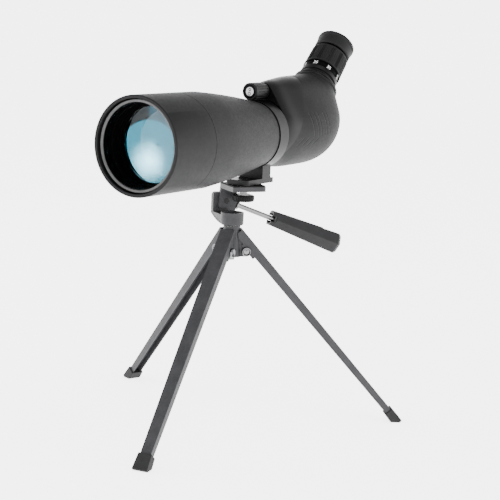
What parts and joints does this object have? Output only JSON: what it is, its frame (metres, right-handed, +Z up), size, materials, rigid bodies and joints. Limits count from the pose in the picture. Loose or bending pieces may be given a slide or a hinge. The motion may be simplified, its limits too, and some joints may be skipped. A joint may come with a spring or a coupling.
{
  "type": "spotting scope",
  "caption": "Angled spotting scope with sliding sun hood, zoom eyepiece and focus knob, held by a rotating collar on a small folding table tripod with pan and tilt head",
  "frame": {"origin": "middle of the overall box's footprint, on the floor", "axes": "+Z up, the objective looks along -Y, +X is to the right when seen from behind the eyepiece"},
  "size_m": [0.2832, 0.3468, 0.345],
  "materials": {
    "rubber_armour": "soft matt dark grey rubber",
    "hood_paint": "soft matt dark grey paint",
    "satin_black": "satin black paint",
    "black_anodised": "black anodised, slightly rough",
    "objective_glass": "polished with a teal coating",
    "eye_glass": "polished, coated",
    "prism_glass": "polished",
    "knob_plastic": "fine matt texture",
    "bright_cap": "turned and polished",
    "chrome_pivot": "polished",
    "steel": "zinc plated",
    "blackened_steel": "blackened",
    "washer_nylon": "natural nylon",
    "tripod_paint": "satin dark grey paint",
    "boot_rubber": "matt",
    "pad_rubber": "matt, ribbed",
    "grip_plastic": "satin moulded"
  },
  "bodies": {
    "tripod": {"hub": "tripod_paint", "leg_pins": "chrome_pivot"},
    "front_leg": {"leg_1": "tripod_paint", "boot_1": "boot_rubber"},
    "right_leg": {"leg_2": "tripod_paint", "boot_2": "boot_rubber"},
    "left_leg": {"leg_3": "tripod_paint", "boot_3": "boot_rubber"},
    "pan_head": {"pan_cup": "tripod_paint", "pan_bolt": "steel", "pan_spring_washer": "steel", "pan_nut": "steel", "friction_washer": "washer_nylon", "tilt_pin": "blackened_steel", "tilt_washer": "washer_nylon"},
    "handle": {"handle_rod": "steel", "handle_grip": "grip_plastic"},
    "tilt_head": {"tilt_bracket": "tripod_paint", "platform_pad": "pad_rubber", "mount_collar": "satin_black", "foot_insert": "blackened_steel"},
    "camera_screw": {"camera_knob": "knob_plastic", "camera_screw": "steel"},
    "collar_lock": {"collar_lock_knob": "knob_plastic"},
    "scope": {"barrel_tube": "black_anodised", "barrel_armour": "rubber_armour", "objective_cell": "black_anodised", "lens_retainer": "black_anodised", "front_baffle": "black_anodised", "objective_crown": "objective_glass", "objective_flint": "objective_glass", "stray_light_baffle": "black_anodised", "hood_guide": "black_anodised", "prism_housing": "satin_black", "rear_cover": "rubber_armour", "roof_prism": "prism_glass", "prism_cage": "black_anodised", "guide_rod": "steel", "eyepiece_seat": "satin_black", "eyepiece_tube": "black_anodised", "field_stop": "black_anodised", "eye_lens": "eye_glass", "eye_lens_ring": "black_anodised", "eyecup": "rubber_armour"},
    "hood": {"sun_hood": "hood_paint"},
    "focus_knob": {"focus_knob": "knob_plastic", "focus_cap": "bright_cap", "focus_shaft": "steel"},
    "focus_carriage": {"focus_carriage": "black_anodised", "focus_lens": "eye_glass"},
    "zoom_ring": {"zoom_sleeve": "black_anodised", "zoom_grip": "rubber_armour", "zoom_screw": "steel", "scale_ring": "black_anodised"},
    "zoom_front": {"zoom_front_cell": "black_anodised", "zoom_front_lens": "eye_glass"},
    "zoom_rear": {"zoom_rear_cell": "black_anodised", "zoom_rear_lens": "eye_glass"}
  },
  "joints": [
    {"name": "front_leg_fold", "type": "hinge", "parent": "tripod", "child": "front_leg", "pos_m": [0.01297, -0.02564, 0.1539], "axis": [0.989, 0.1478, 0], "range_deg": [0, 41]},
    {"name": "right_leg_fold", "type": "hinge", "parent": "tripod", "child": "right_leg", "pos_m": [0.02122, -0.00469, 0.1539], "axis": [-0.6225, 0.7826, 0], "range_deg": [0, 41]},
    {"name": "left_leg_fold", "type": "hinge", "parent": "tripod", "child": "left_leg", "pos_m": [-0.00105, -0.00802, 0.1539], "axis": [-0.3665, -0.9304, 0], "range_deg": [0, 41]},
    {"name": "pan", "type": "hinge", "parent": "tripod", "child": "pan_head", "pos_m": [0.01104, -0.01278, 0.1764], "axis": [0, 0, 1], "continuous": true},
    {"name": "tilt", "type": "hinge", "parent": "pan_head", "child": "tilt_head", "pos_m": [-0.00801, 0.00428, 0.194], "axis": [0.8181, -0.575, 0], "range_deg": [-30, 40]},
    {"name": "handle_twist", "type": "hinge", "parent": "pan_head", "child": "handle", "pos_m": [-0.01014, 0.00577, 0.194], "axis": [0.5389, 0.7668, -0.3486], "range_deg": [-90, 360]},
    {"name": "camera_screw_turn", "type": "hinge", "parent": "tilt_head", "child": "camera_screw", "pos_m": [0.01102, 0.00422, 0.1956], "axis": [0, 0, 1], "continuous": true},
    {"name": "collar_lock_turn", "type": "hinge", "parent": "tilt_head", "child": "collar_lock", "pos_m": [0.01104, 0.02067, 0.2538], "axis": [-1, 0, 0], "range_deg": [0, 360]},
    {"name": "scope_rotation", "type": "hinge", "parent": "tilt_head", "child": "scope", "pos_m": [0.01104, -0.01278, 0.2538], "axis": [0, 1, 0], "range_deg": [-60, 120]},
    {"name": "hood_slide", "type": "slide", "parent": "scope", "child": "hood", "axis": [0, -1, 0], "range_m": [0, 0.03]},
    {"name": "focus_turn", "type": "hinge", "parent": "scope", "child": "focus_knob", "pos_m": [0.01104, -0.01278, 0.2914], "axis": [0, 1, 0], "range_deg": [-540, 1080]},
    {"name": "focus_slide", "type": "slide", "parent": "scope", "child": "focus_carriage", "axis": [0, 1, 0], "range_m": [-0.00526, 0.01051]},
    {"name": "zoom_turn", "type": "hinge", "parent": "scope", "child": "zoom_ring", "pos_m": [0.01104, 0.08222, 0.2538], "axis": [0, 0.7071, 0.7071], "range_deg": [0, 150]},
    {"name": "zoom_front_slide", "type": "slide", "parent": "scope", "child": "zoom_front", "axis": [0, 0.7071, 0.7071], "range_m": [0, 0.00801]},
    {"name": "zoom_rear_slide", "type": "slide", "parent": "scope", "child": "zoom_rear", "axis": [0, 0.7071, 0.7071], "range_m": [-0.00291, 0]}
  ],
  "couplings": [
    {"joint": "focus_slide", "follows": "focus_turn", "m_per_rad": 0.00055704},
    {"joint": "zoom_front_slide", "follows": "zoom_turn", "m_per_rad": 0.0030558},
    {"joint": "zoom_rear_slide", "follows": "zoom_turn", "m_per_rad": -0.0011077}
  ]
}
